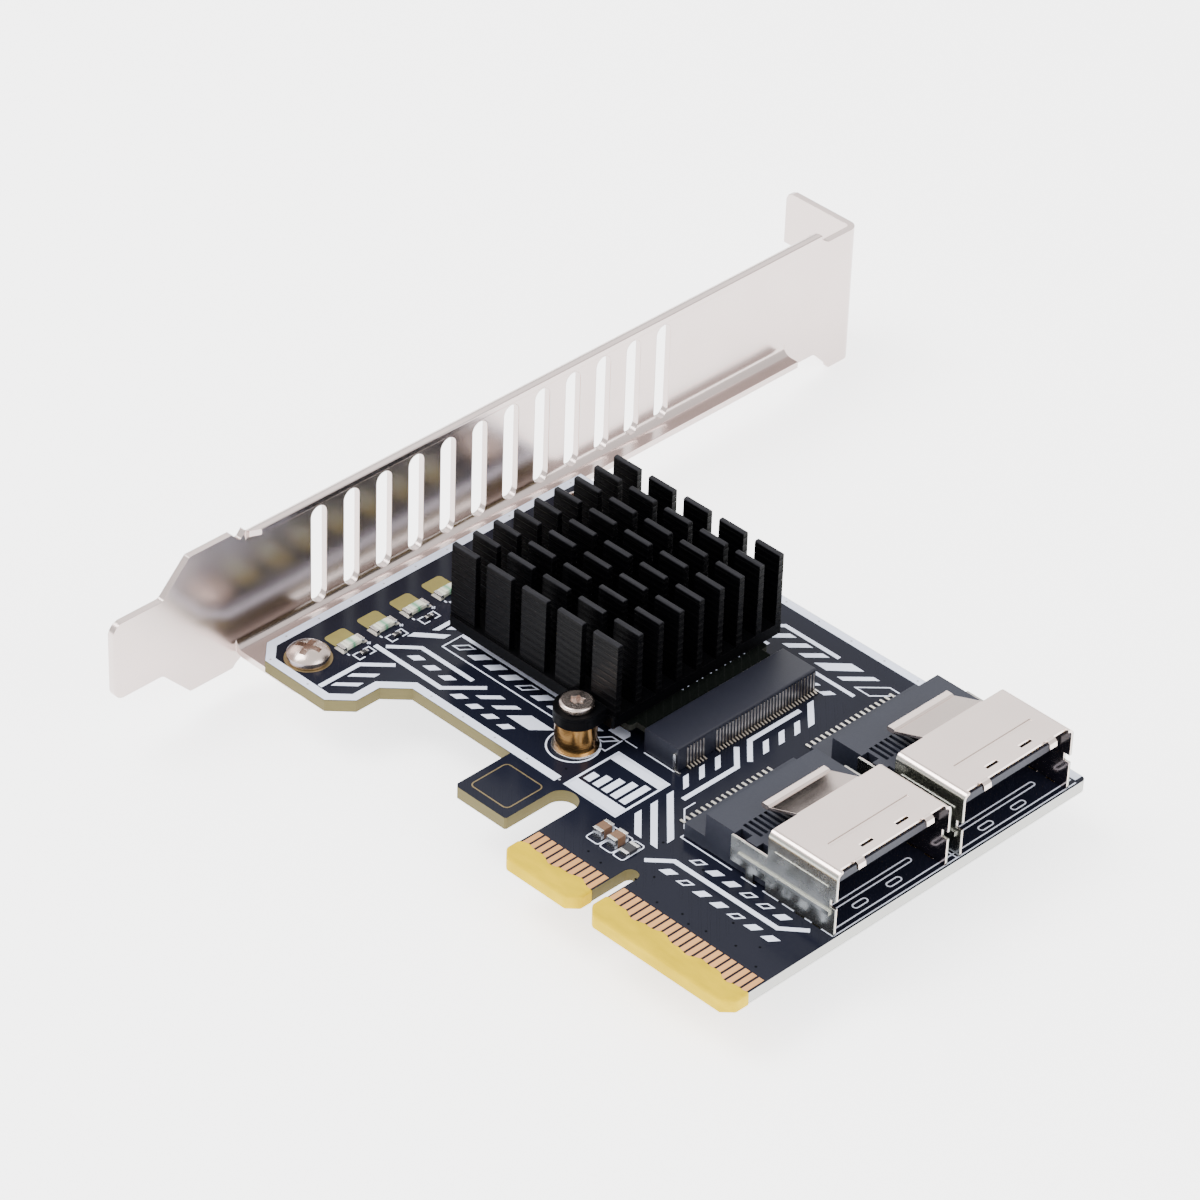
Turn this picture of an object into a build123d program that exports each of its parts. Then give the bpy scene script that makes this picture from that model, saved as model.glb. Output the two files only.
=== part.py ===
"""Storage expansion card: edge-connector board, rear bracket, finned heat sink over a plug-in module,
and two shielded cable receptacles. Millimetres, +Z is the component side.

Layout is drawn from the inner end of the first gold finger (X along the finger row, away from the
bracket; Y along the bracket, away from the fingers), then everything is moved so that the row's
origin is the middle of the key notch, at the tips of the fingers, on the board's component face.
"""
import math
import os

from build123d import *

# The board
BOARD_T = 1.57
BACK_X, RIGHT_X, FAR_Y = -45.65, 33.6, 50.85      # bracket-side edge, receptacle edge, far edge
FOOT_Y = -1.24                                    # low edge of the corner that takes the bracket screw
CORNER = 2.4                                      # its outer chamfer
FOOT_X, FOOT_C, STEP_Y = -33.4, 2.55, 4.8         # inner chamfer start, its size, the short riser's end
EDGE_Y = 7.4                                      # edge between the foot and the small tab
TAB_X0, TAB_X1, TAB_Y = -12.48, -4.48, -1.06      # small bare tab beside the fingers
SLOT_X0, SLOT_X1, SLOT_TOP = -4.48, -0.65, 7.5    # slot between that tab and the fingers
KEY_X, KEY_W, KEY_TOP = 11.5, 1.9, 3.05           # key notch of the edge connector
TIP_Y = -5.6                                      # finger tips
TIP_C = 1.2                                       # chamfer on the finger corners
BEVEL_Y, BEVEL_Z = 1.3, 0.35                      # lead-in on the tips

# Gold fingers and their film
PITCH, FINGER_W, FINGER_T = 1.0, 0.7, 0.05
SHORT_N, LONG_N, LONG_X = 11, 21, 13.0            # fingers before and after the key
FINGER_Y1 = TIP_Y + BEVEL_Y
FILM_T, FILM_Y = 0.14, -2.75                      # soft film on the tips, its wavy inner edge

# Rear bracket
BR_T = 0.86
BR_X = -48.84                                     # face towards the board
BR_Z1, BR_Z0 = 14.24, -4.18                       # 18.42 wide
BR_Y0, BR_Y1 = -18.55, 101.47                     # 120.02 long
TONGUE_Z0, TONGUE_Z1 = -0.05, 10.14               # 10.19 wide tongue
TONGUE_Y, SHOULDER_Y = -11.3, -7.3
TAB_LEN = 11.43                                   # tab folded outward at the far end
TAB_DROP, TAB_RISE = 2.54, 3.17                   # tab edge offsets from the plate's edges
NOTCH_W, NOTCH_D = 4.42, 5.6                      # screw notch in the tab
VENT_N, VENT_P, VENT_Y, VENT_W = 12, 5.04, 12.05, 2.4
VENT_Z0, VENT_Z1 = -1.15, 12.05
FLANGE_TOP, FLANGE_LOW = 1.3, 2.45                # how far the long flanges stand off the plate
FLANGE_Y0, FLANGE_Y1, FLANGE_LOW_Y1 = 1.0, 93.4, 89.0
EAR_X1 = -37.2                                    # ears under the board that take the screws
EAR_W, EAR_R = 9.5, 2.2
EAR_Y0 = -0.6                                     # start of the low flange and of the first ear
RELIEF_Y, RELIEF_Z = 0.05, -3.2                   # corner of the relief cut beside it
SCREW_X, SCREW_Y0, SCREW_Y1 = -40.4, 2.75, 45.9
SCREWS = [(SCREW_X, SCREW_Y0), (SCREW_X, SCREW_Y1)]
SCREW_R, SCREW_HEAD_R, SCREW_HEAD_H, SCREW_RIM = 1.45, 2.5, 1.6, 0.8
CROSS_L, CROSS_W, CROSS_D = 3.1, 0.8, 0.95        # cross recess in the head
HOLE_R = 1.65                                     # board hole round the screw shank

# Plug-in module, heat sink
SOCKET_Y0, SOCKET_Y1 = 18.45, 40.3
SOCKET_X0, SOCKET_X1, SOCKET_H = -2.75, 2.45, 3.2
MODULE_T, MODULE_Z = 0.8, 1.5
MODULE_X0, MODULE_X1 = -31.2, 0.9
MODULE_W = SOCKET_Y1 - SOCKET_Y0 + 0.15
TONGUE_W = SOCKET_Y1 - SOCKET_Y0 - 1.99           # the module's edge that goes into the socket
MODULE_KEY_Y = SOCKET_Y0 + 4.9
PIN_P, PIN_W = 0.5, 0.2
PIN_RUNS = [(SOCKET_Y0 + 1.45, 6), (SOCKET_Y0 + 6.05, 32)]   # first pin, count
MODULE_YC = (SOCKET_Y0 + SOCKET_Y1) / 2
CHIP, CHIP_H, PAD_T = 9.0, 0.75, 0.25
SINK_X0, SINK_X1 = -31.05, -4.85
SINK_Z = MODULE_Z + MODULE_T + CHIP_H + PAD_T
SINK_BASE, SINK_TOP = 1.5, 14.4
FIN_N, FIN_P, FIN_Y, FIN_T, FIN_TIP = 9, 3.17, 15.9, 0.72, 0.22
SINK_Y0, SINK_Y1 = FIN_Y - 0.35, FIN_Y + (FIN_N - 1) * FIN_P + FIN_T + 0.35
SEG_N, SEG_L = 5, 3.85
SEG_P = (SINK_X1 - SINK_X0 - SEG_L) / (SEG_N - 1)
LUG_R, LUG_Z, LUG_T = 2.65, 3.9, 1.65             # lugs of the sink that stand on the posts
POST_X, POST_Y = -8.6, 13.6
POSTS = [(POST_X, POST_Y), (SINK_X0 + SINK_X1 - POST_X, SINK_Y0 + SINK_Y1 - POST_Y)]
POST_R, POST_BASE_R, POST_BASE_H = 2.42, 2.7, 0.35
POST_FOOT_R = 1.6                                 # turned foot of the post, through the board
POST_SCREW_R, POST_HEAD_R, POST_HEAD_H = 1.2, 1.97, 0.75

# Receptacles
PORT_Y = 19.45                                    # middle of the first receptacle
SHIELD_T, SHIELD_W, SHIELD_TOP = 0.32, 17.8, 8.35
PORT_GAP = 1.95                                   # between the two shields
PORT_PITCH = SHIELD_W + PORT_GAP
SHIELD_X0, SHIELD_X1, SHIELD_R = 23.4, 33.35, 0.9
TOP_X1 = 32.8                                     # the top plate's front edge, behind the side plates' edges
SIDE_X0, SIDE_Z0, SIDE_Z1 = 18.05, 1.4, 4.8       # low part of the side plates that runs further back
CREASE_Z, BULGE_Z0, BULGE_Z1 = 6.05, 2.5, 3.1     # pressed lines along the side plates
NOTCH_X, NOTCH_Z0, NOTCH_Z1 = 32.55, 3.6, 4.6     # notch in the side plates' front edges
LIP_X0, LIP_X1, LIP_Z0, LIP_Z1 = 18.15, 19.4, 6.35, 7.05   # rolled hem at the end of the rear tongue
TONGUE_Y0P, TONGUE_Y1P = -4.55, 4.95              # rear tongue's sides, from the receptacle's middle
WINDOW_X, WINDOW_W, WINDOW_L = 31.55, 0.62, 1.85  # two small windows in the top plate
GROOVE_X, GROOVE_W = 29.2, 0.45
CURL_W, CURL_Y = 1.15, (-5.2, 5.45)               # curled tabs on the top plate's front edge
FOOT_HALF, FOOT_DOWN = 0.55, 2.3
PEG_X, PEG_Y, PEG_R = 22.2, 6.2, 0.7              # locating pegs under the housing
HOUSE_CLEAR = 0.08
HOUSE_W = SHIELD_W - 2 * (SHIELD_T + HOUSE_CLEAR)
HOUSE_X0, HOUSE_X1, HOUSE_Z0, HOUSE_TOP = 13.9, 26.4, 0.25, 4.95
LOW_X0, LOW_Z = 10.8, 1.9                         # low block behind the housing that holds the contacts
BLADE_X1, BLADE_W, BLADE_Z0, BLADE_Z1 = 31.2, 15.2, 4.55, 5.55
CONTACT_N, CONTACT_P, CONTACT_W, CONTACT_T = 18, 0.8, 0.34, 0.08
COMB_X0, COMB_X1, COMB_W, COMB_D = 17.9, 20.6, 0.46, 1.3
TAIL_X0, TAIL_W, TAIL_T = 8.6, 0.3, 0.16
FEET_X = [20.9, 24.8, 28.5, 31.0]

# Small parts
LED_N, LED_P, LED_Y, LED_X = 7, 5.0, 7.94, -39.0
LED_L, LED_W, LED_H = 3.2, 1.25, 0.6
CAPS = [(4.65, 4.85, 1.25), (6.75, 4.85, 1.25), (8.55, 4.85, 0.5)]

DATUM = (-KEY_X, -TIP_Y, 0)


# Drawing helpers
def outline(points):
    """Closed outline from (a, b) or (a, b, r) points; r rounds the corner there."""
    n, ends, arcs = len(points), [], []
    for i, p in enumerate(points):
        r = p[2] if len(p) > 2 else 0
        c = Vector(p[0], p[1])
        a = Vector(*points[i - 1][:2]) - c
        b = Vector(*points[(i + 1) % n][:2]) - c
        if r <= 0:
            ends.append((c, c))
            arcs.append(None)
            continue
        half = a.get_angle(b) / 2
        d = r / math.tan(math.radians(half))
        u, v = a.normalized(), b.normalized()
        mid = (u + v).normalized() * (r / math.sin(math.radians(half)) - r)
        ends.append((c + u * d, c + v * d))
        arcs.append(c + mid)
    edges = []
    for i in range(n):
        s, e = ends[i]
        if arcs[i] is not None:
            edges.append(ThreePointArc(s, arcs[i], e))
        nxt = ends[(i + 1) % n][0]
        if (nxt - e).length > 1e-6:
            edges.append(Line(e, nxt))
    return make_face(edges)


def bar_z(points, z0, z1):
    return extrude(Plane.XY.offset(z0) * outline(points), z1 - z0)


def bar_x(points, x0, x1):
    """Points are (Y, Z)."""
    return extrude(Plane.YZ.offset(x0) * outline(points), x1 - x0)


def bar_y(points, y0, y1):
    """Points are (X, Z)."""
    return extrude(Plane.XZ.offset(-y0) * outline(points), -(y1 - y0))


def block(x0, x1, y0, y1, z0, z1):
    return Pos((x0 + x1) / 2, (y0 + y1) / 2, (z0 + z1) / 2) * Box(x1 - x0, y1 - y0, z1 - z0)


def rod(x, y, r, z0, z1):
    return Pos(x, y, (z0 + z1) / 2) * Cylinder(r, z1 - z0)


def save(name, parts):
    """Writes one node; several solids stay separate solids of it."""
    items = parts if isinstance(parts, list) else [parts]
    solids = [s for item in items for s in item.solids()]
    moved = [Pos(*DATUM) * s for s in solids]
    export_step(moved[0] if len(moved) == 1 else Compound(children=moved), f"parts/{name}.step")
    print(name, len(moved), "solids")


# Board
def segment(x0, x1, grow=0.0, top=0.5):
    """Plan of one run of fingers, its corners chamfered; grow offsets it outward."""
    c = TIP_C + grow * (2 - math.sqrt(2))
    return [(x0 - grow, top), (x0 - grow, TIP_Y - grow + c), (x0 - grow + c, TIP_Y - grow),
            (x1 + grow - c, TIP_Y - grow), (x1 + grow, TIP_Y - grow + c), (x1 + grow, top)]


SHORT = (SLOT_X1, KEY_X - KEY_W / 2)
LONG = (KEY_X + KEY_W / 2, RIGHT_X)


def main_board():
    plan = [(BACK_X, FOOT_Y + CORNER), (BACK_X + CORNER, FOOT_Y), (FOOT_X, FOOT_Y),
            (FOOT_X + FOOT_C, FOOT_Y + FOOT_C), (FOOT_X + FOOT_C, STEP_Y),
            (FOOT_X + FOOT_C + EDGE_Y - STEP_Y, EDGE_Y), (TAB_X0, EDGE_Y), (TAB_X0, TAB_Y + 0.4),
            (TAB_X0 + 0.4, TAB_Y), (TAB_X1 - 0.2, TAB_Y), (TAB_X1, TAB_Y + 0.2), (TAB_X1, 2.0)]
    plan += [(SHORT[0], 2.0)] + segment(*SHORT)[1:5] + [(SHORT[1], 0.0)]
    plan += [(LONG[0], 0.0)] + segment(*LONG)[1:5]
    plan += [(RIGHT_X, FAR_Y, 0.6), (BACK_X, FAR_Y, 0.6)]
    board = bar_z(plan, -BOARD_T, 0)
    r = (SLOT_X1 - SLOT_X0) / 2
    board -= block(SLOT_X0, SLOT_X1, 0, SLOT_TOP - r, -BOARD_T, 0)
    board -= rod(SLOT_X0 + r, SLOT_TOP - r, r, -BOARD_T, 0)
    board -= block(SHORT[1], LONG[0], -1, KEY_TOP - KEY_W / 2, -BOARD_T, 0)
    board -= rod(KEY_X, KEY_TOP - KEY_W / 2, KEY_W / 2, -BOARD_T, 0)
    y, b = TIP_Y, BEVEL_Y
    for z, s in ((0, 1), (-BOARD_T, -1)):
        board -= bar_x([(y - 1, z + s), (y - 1, z - s * BEVEL_Z), (y, z - s * BEVEL_Z), (y + b, z), (y + b, z + s)],
                       SHORT[0] - 1, RIGHT_X + 1)
    for sx, sy in SCREWS:
        board -= rod(sx, sy, HOLE_R, -BOARD_T, 0)
    for px, py in POSTS:
        board -= rod(px, py, POST_FOOT_R + 0.05, -BOARD_T, 0)
    for k in (0, 1):
        yc = PORT_Y + k * PORT_PITCH
        for s in (-1, 1):
            ys = yc + s * (SHIELD_W / 2 - SHIELD_T / 2)
            for x in FEET_X:
                board -= block(x - FOOT_HALF - 0.1, x + FOOT_HALF + 0.1, ys - 0.26, ys + 0.26, -BOARD_T, 0)
            board -= rod(PEG_X, yc + s * PEG_Y, PEG_R + 0.1, -BOARD_T, 0)
    return board


def fingers():
    xs = [i * PITCH for i in range(SHORT_N)] + [LONG_X + i * PITCH for i in range(LONG_N)]
    out = []
    for x in xs:
        for z0 in (0, -BOARD_T - FINGER_T):
            out.append(block(x - FINGER_W / 2, x + FINGER_W / 2, FINGER_Y1, 0, z0, z0 + FINGER_T))
    return out


def film(x0, x1, seed):
    """Soft film wrapped over the tips of one run of fingers, its inner edge wavy."""
    lo, hi = -BOARD_T - FINGER_T, FINGER_T
    t = FILM_T
    shell = bar_x([(0, lo - t), (0, hi + t), (TIP_Y - t, hi + t, 0.7), (TIP_Y - t, lo - t, 0.7)], x0 - t, x1 + t)
    n = max(8, int((x1 - x0) / 0.9))
    wave = []
    for i in range(n + 1):
        x = x1 + t - (x1 - x0 + 2 * t) * i / n
        wave.append((x, FILM_Y + 0.3 * math.sin(0.9 * x + seed) + 0.16 * math.sin(2.3 * x + 2 * seed)))
    plan = segment(x0, x1, t)[1:5]
    shell &= bar_z(plan + wave, lo - t - 1, hi + t + 1)
    return shell - bar_z(segment(x0, x1), lo, hi)


# Bracket
def bracket():
    xi, xo = BR_X, BR_X - BR_T
    z1t, z0t = BR_Z1 - TAB_DROP, BR_Z0 - TAB_RISE
    plan = [(BR_Y0, TONGUE_Z1, 1.6), (TONGUE_Y, TONGUE_Z1, 0.8), (SHOULDER_Y, BR_Z1, 0.3), (-1.0, BR_Z1, 0.2),
            (0.15, BR_Z1 - 1.3, 0.3), (FLANGE_Y0, BR_Z1 - 0.3), (FLANGE_Y0, BR_Z1 - 1.0),
            (FLANGE_Y1, BR_Z1 - 1.0), (FLANGE_Y1, BR_Z1 - 0.9), (96.0, z1t, 0.6), (BR_Y1, z1t),
            (BR_Y1, z0t, 1.0), (97.7, z0t, 0.8), (94.6, BR_Z0, 0.8), (FLANGE_LOW_Y1 + 1.0, BR_Z0, 0.4),
            (FLANGE_LOW_Y1 + 0.2, BR_Z0 + 1.2), (FLANGE_LOW_Y1, 0.2), (RELIEF_Y, 0.2), (RELIEF_Y, RELIEF_Z, 0.2),
            (RELIEF_Y - 0.85, RELIEF_Z - 0.55, 0.3), (RELIEF_Y - 1.2, BR_Z0, 0.2),
            (-7.5, BR_Z0, 0.4), (-11.5, TONGUE_Z0, 0.8), (BR_Y0, TONGUE_Z0, 1.4)]
    plate = bar_x(plan, xo, xi)
    # long flanges with their bends, drawn as the cross-section
    t, ri = BR_T, 0.9
    top = [(xo, BR_Z1 - 3), (xo, BR_Z1, ri + t), (xi + FLANGE_TOP, BR_Z1, 0.15),
           (xi + FLANGE_TOP, BR_Z1 - t, 0.15), (xi, BR_Z1 - t, ri), (xi, BR_Z1 - 3)]
    plate += bar_y(top, FLANGE_Y0, FLANGE_Y1) - bar_z(
        [(xo - 1, FLANGE_Y0 - 1), (xi + 0.2, FLANGE_Y0 - 1), (xi + FLANGE_TOP + 1, FLANGE_Y0 + 3.4),
         (xi + FLANGE_TOP + 1, FLANGE_Y0 - 2)], BR_Z1 - 2, BR_Z1 + 1)
    zf = -BOARD_T
    low = [(xo, zf + 3), (xo, zf - t, ri + t + 0.3), (xi + FLANGE_LOW, zf - t), (xi + FLANGE_LOW, zf),
           (xi, zf, ri + 0.3), (xi, zf + 3)]
    plate += bar_y(low, EAR_Y0, FLANGE_LOW_Y1)
    # ears under the board
    for (sx, sy), y0, flare in ((SCREWS[0], EAR_Y0, 0), (SCREWS[1], SCREW_Y1 - EAR_W / 2, -2.2)):
        y1 = y0 + EAR_W
        a = [(xi + FLANGE_LOW - 0.5, y1 + 2.2), (xi + FLANGE_LOW - 0.5, y0 + flare),
             (xi + 4.1, y0), (EAR_X1, y0, EAR_R), (EAR_X1, y1, EAR_R), (xi + 5.0, y1)]
        plate += bar_z(a, zf - t, zf)
        plate -= rod(sx, sy, SCREW_R, zf - t, zf)
    # tab folded outward, with its open screw notch
    ro = 1.3
    tab = [(xi, BR_Y1 - 4), (xi, BR_Y1, ro), (xi - TAB_LEN, BR_Y1), (xi - TAB_LEN, BR_Y1 - t),
           (xo, BR_Y1 - t, ro - t), (xo, BR_Y1 - 4)]
    fold = bar_z(tab, z0t, z1t)
    zc = (z0t + z1t) / 2
    fold -= bar_y([(xi - TAB_LEN - 1, zc - NOTCH_W / 2), (xi - TAB_LEN + NOTCH_D, zc - NOTCH_W / 2, 2.2),
                   (xi - TAB_LEN + NOTCH_D, zc + NOTCH_W / 2, 2.2), (xi - TAB_LEN - 1, zc + NOTCH_W / 2)],
                  BR_Y1 - 2, BR_Y1 + 1)
    for z in (z1t, z0t):
        s = 1 if z == z1t else -1
        fold -= bar_y([(xi - TAB_LEN - 1, z + s), (xi - TAB_LEN - 1, z - s * 1.0), (xi - TAB_LEN, z - s * 1.0),
                       (xi - TAB_LEN + 0.3, z - s * 0.3), (xi - TAB_LEN + 1.0, z), (xi - TAB_LEN + 1.0, z + s)],
                      BR_Y1 - 2, BR_Y1 + 1)
    plate = (plate - block(xo - 1, xi + 1, BR_Y1 - 3, BR_Y1 + 1, z0t - 1, z1t + 1)) + fold
    for i in range(VENT_N):
        y = VENT_Y + i * VENT_P
        h = VENT_W / 2 - 0.001
        plate -= bar_x([(y - VENT_W / 2, VENT_Z0, h), (y + VENT_W / 2, VENT_Z0, h),
                        (y + VENT_W / 2, VENT_Z1, h), (y - VENT_W / 2, VENT_Z1, h)], xo - 1, xi + 1.2)
    return plate


def bracket_screws():
    out = []
    for x, y in SCREWS:
        r, h = SCREW_HEAD_R, SCREW_HEAD_H
        rim = SCREW_RIM
        side = make_face([Line((0, 0), (r - 0.1, 0)), Line((r - 0.1, 0), (r, 0.12)), Line((r, 0.12), (r, rim)),
                          ThreePointArc((r, rim), (0.72 * r, rim + 0.72 * (h - rim)), (0, h)), Line((0, h), (0, 0))])
        head = revolve(Plane.XZ * side, Axis.Z)
        for a in (20, 110):
            head -= Rot(0, 0, a) * block(-CROSS_L / 2, CROSS_L / 2, -CROSS_W / 2, CROSS_W / 2, h - CROSS_D, h + 1)
        out.append(Pos(x, y, 0) * head + rod(x, y, SCREW_R, -BOARD_T - BR_T, 0))
    return out


# Module and heat sink
def socket():
    x0, x1, h = SOCKET_X0, SOCKET_X1, SOCKET_H
    z0, z1 = MODULE_Z - 0.06, MODULE_Z + MODULE_T + 0.06
    side = [(x0, 0.1), (x0, z0), (x1 - 1.2, z0), (x1 - 1.2, z1), (x0, z1), (x0, h, 0.15), (x1, h, 0.2), (x1, 0.1)]
    body = bar_y(side, SOCKET_Y0, SOCKET_Y1)
    for y0, y1 in ((SOCKET_Y0, SOCKET_Y0 + 0.9), (SOCKET_Y1 - 0.9, SOCKET_Y1)):
        body += block(x0, x1 - 1.0, y0, y1, z0, z1)
    # contact slots in the back face
    for y in pin_rows():
        body -= block(x1 - 0.22, x1 + 1, y - PIN_W / 2 - 0.01, y + PIN_W / 2 + 0.01, 0.1, h - 0.35)
    return body


def pin_rows():
    return [y + PIN_P * i for y, n in PIN_RUNS for i in range(n)]


def socket_pins():
    """Solder tails of the socket: down its back face and out over the board."""
    x, out = SOCKET_X1, []
    for y in pin_rows():
        side = [(x - 0.2, SOCKET_H - 0.5), (x + 0.02, SOCKET_H - 0.5), (x + 0.1, 0.3), (x + 0.6, 0.16), (x + 0.6, 0.02),
                (x - 0.02, 0.02), (x - 0.2, 0.3)]
        out.append(bar_y(side, y - PIN_W / 2, y + PIN_W / 2))
    return out


def socket_tabs():
    """Two narrow solder hold-downs at the back corners of the socket."""
    out, x = [], SOCKET_X1
    for y, s in ((SOCKET_Y0, -1), (SOCKET_Y1, 1)):
        a, b = sorted((y, y + s * 0.2))
        out.append(block(x - 0.6, x - 0.25, a, b, 0, 2.3) + block(x - 0.3, x + 0.5, a, b, 0, 0.2))
    return out


def module_board():
    y0, y1 = MODULE_YC - MODULE_W / 2, MODULE_YC + MODULE_W / 2
    t0, t1 = MODULE_YC - TONGUE_W / 2, MODULE_YC + TONGUE_W / 2
    xs = SOCKET_X0 - 2.2
    plan = [(MODULE_X0, y0, 0.5), (xs, y0, 0.4), (xs, t0), (MODULE_X1, t0, 0.3), (MODULE_X1, t1, 0.3), (xs, t1),
            (xs, y1, 0.4), (MODULE_X0, y1, 0.5)]
    pcb = bar_z(plan, MODULE_Z, MODULE_Z + MODULE_T)
    ky = MODULE_KEY_Y
    pcb -= block(xs + 1.6, MODULE_X1 + 1, ky - 0.6, ky + 0.6, MODULE_Z, MODULE_Z + MODULE_T)
    pcb -= rod(MODULE_X0, MODULE_YC, 1.75, MODULE_Z, MODULE_Z + MODULE_T)
    return pcb


def chip_center():
    return (SINK_X0 + SINK_X1) / 2, MODULE_YC


def chip():
    x, y = chip_center()
    z = MODULE_Z + MODULE_T
    h = CHIP / 2
    return bar_z([(x - h, y - h, 0.3), (x + h, y - h, 0.3), (x + h, y + h, 0.3), (x - h, y + h, 0.3)], z, z + CHIP_H)


def thermal_pad():
    x, y = chip_center()
    z = MODULE_Z + MODULE_T + CHIP_H
    h = CHIP / 2 + 1.5
    return block(x - h, x + h, y - h, y + h, z, SINK_Z)


def heat_sink():
    top = SINK_Z + SINK_BASE
    sink = bar_z([(SINK_X0, SINK_Y0, 0.3), (SINK_X1, SINK_Y0, 0.3), (SINK_X1, SINK_Y1, 0.3),
                  (SINK_X0, SINK_Y1, 0.3)], SINK_Z, top)
    for i in range(FIN_N):
        y = FIN_Y + i * FIN_P
        fin = bar_x([(y - 0.08, top - 0.1), (y, SINK_TOP, FIN_TIP), (y + FIN_T, SINK_TOP, FIN_TIP),
                     (y + FIN_T + 0.08, top - 0.1)], SINK_X0, SINK_X1)
        for k in range(SEG_N - 1):
            x = SINK_X0 + SEG_L + k * SEG_P
            fin -= block(x, x + SEG_P - SEG_L, y - 1, y + FIN_T + 1, top, SINK_TOP + 1)
        sink += fin
    for (px, py), s in zip(POSTS, (1, -1)):
        y1 = SINK_Y0 + 1 if s > 0 else SINK_Y1 - 1
        a, b = sorted((py, y1))
        lug = rod(px, py, LUG_R, LUG_Z, LUG_Z + LUG_T)
        lug += block(px - LUG_R, px + LUG_R, a, b, LUG_Z, LUG_Z + LUG_T)
        sink += lug
        sink -= rod(px, py, POST_R + 0.1, SINK_Z, LUG_Z)
        sink -= rod(px, py, POST_SCREW_R + 0.15, LUG_Z - 1, LUG_Z + LUG_T)
    return sink


def posts():
    out = []
    for x, y in POSTS:
        post = rod(x, y, POST_R, POST_BASE_H, LUG_Z) + rod(x, y, POST_FOOT_R, -BOARD_T, POST_BASE_H)
        out.append(post - rod(x, y, POST_SCREW_R, LUG_Z - 3.4, LUG_Z))
    return out


def post_bases():
    """Plated ring that each post stands in."""
    return [rod(x, y, POST_BASE_R, 0, POST_BASE_H) - rod(x, y, POST_FOOT_R, 0, POST_BASE_H) for x, y in POSTS]


def post_screws():
    out = []
    for x, y in POSTS:
        z = LUG_Z + LUG_T
        r, h = POST_HEAD_R, POST_HEAD_H
        side = make_face([Line((0, 0), (r - 0.1, 0)), Line((r - 0.1, 0), (r, 0.12)), Line((r, 0.12), (r, h - 0.3)),
                          ThreePointArc((r, h - 0.3), (r - 0.08, h - 0.08), (r - 0.35, h)),
                          Line((r - 0.35, h), (0, h)), Line((0, h), (0, 0))])
        head = revolve(Plane.XZ * side, Axis.Z)
        star = [((0.95 if k % 2 == 0 else 0.62) * math.cos(k * math.pi / 6),
                 (0.95 if k % 2 == 0 else 0.62) * math.sin(k * math.pi / 6)) for k in range(12)]
        head -= bar_z(star, h - 0.5, h + 1)
        out.append(Pos(x, y, z) * head + rod(x, y, POST_SCREW_R, z - 3.0, z))
    return out


# Receptacles
def contact_rows(yc):
    return [yc + (i - (CONTACT_N - 1) / 2) * CONTACT_P for i in range(CONTACT_N)]


def port_housing(yc):
    y0, y1 = yc - HOUSE_W / 2, yc + HOUSE_W / 2
    body = bar_y([(LOW_X0, HOUSE_Z0 - 0.1), (LOW_X0, LOW_Z), (HOUSE_X0, LOW_Z), (HOUSE_X0, HOUSE_TOP),
                  (HOUSE_X1, HOUSE_TOP), (HOUSE_X1, HOUSE_Z0), (HOUSE_X0, HOUSE_Z0), (HOUSE_X0, HOUSE_Z0 - 0.1)], y0, y1)
    hood = SHIELD_TOP - SHIELD_T - 0.05
    r = SHIELD_R - SHIELD_T + 0.05
    body += bar_x([(y0, HOUSE_TOP - 0.1), (y0, hood, r), (y1, hood, r), (y1, HOUSE_TOP - 0.1)],
                  SHIELD_X0 + 0.4, HOUSE_X1)
    body += block(HOUSE_X1 - 0.4, BLADE_X1, yc - BLADE_W / 2, yc + BLADE_W / 2, BLADE_Z0, BLADE_Z1)
    # two pockets beside the near side plate
    body -= block(SIDE_X0 + 0.2, SIDE_X0 + 1.8, y0 - 1, y0 + 1.0, HOUSE_TOP - 1.2, HOUSE_TOP + 1)
    body -= block(SHIELD_X0 - 1.9, SHIELD_X0 + 0.3, y0 - 1, y0 + 0.9, HOUSE_TOP - 1.5, HOUSE_TOP + 1)
    for s in (-1, 1):
        body += rod(PEG_X, yc + s * PEG_Y, PEG_R, 0.2 - BOARD_T, HOUSE_Z0 + 0.2)
    # comb slots over the contacts
    for y in contact_rows(yc):
        body -= block(COMB_X0, COMB_X1, y - COMB_W / 2, y + COMB_W / 2, HOUSE_TOP - COMB_D, HOUSE_TOP + 1)
    return body


def port_tails(yc):
    """Solder tails that leave the low block and lie on the board."""
    x, t = LOW_X0, TAIL_T
    side = [(x, 0.95), (x - 0.35, 0.95), (x - 0.75, 0.02 + t), (TAIL_X0, 0.02 + t), (TAIL_X0, 0.02),
            (x - 0.65, 0.02), (x - 0.25, 0.95 - t), (x, 0.95 - t)]
    return [bar_y(side, y - TAIL_W / 2, y + TAIL_W / 2) for y in contact_rows(yc)]


def port_contacts(yc):
    """Contact strips on both faces of the blade."""
    out, h = [], CONTACT_W / 2
    for y in contact_rows(yc):
        for z in (BLADE_Z1, BLADE_Z0 - CONTACT_T):
            out.append(block(HOUSE_X1, BLADE_X1 - 0.3, y - h, y + h, z, z + CONTACT_T))
    return out


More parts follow.
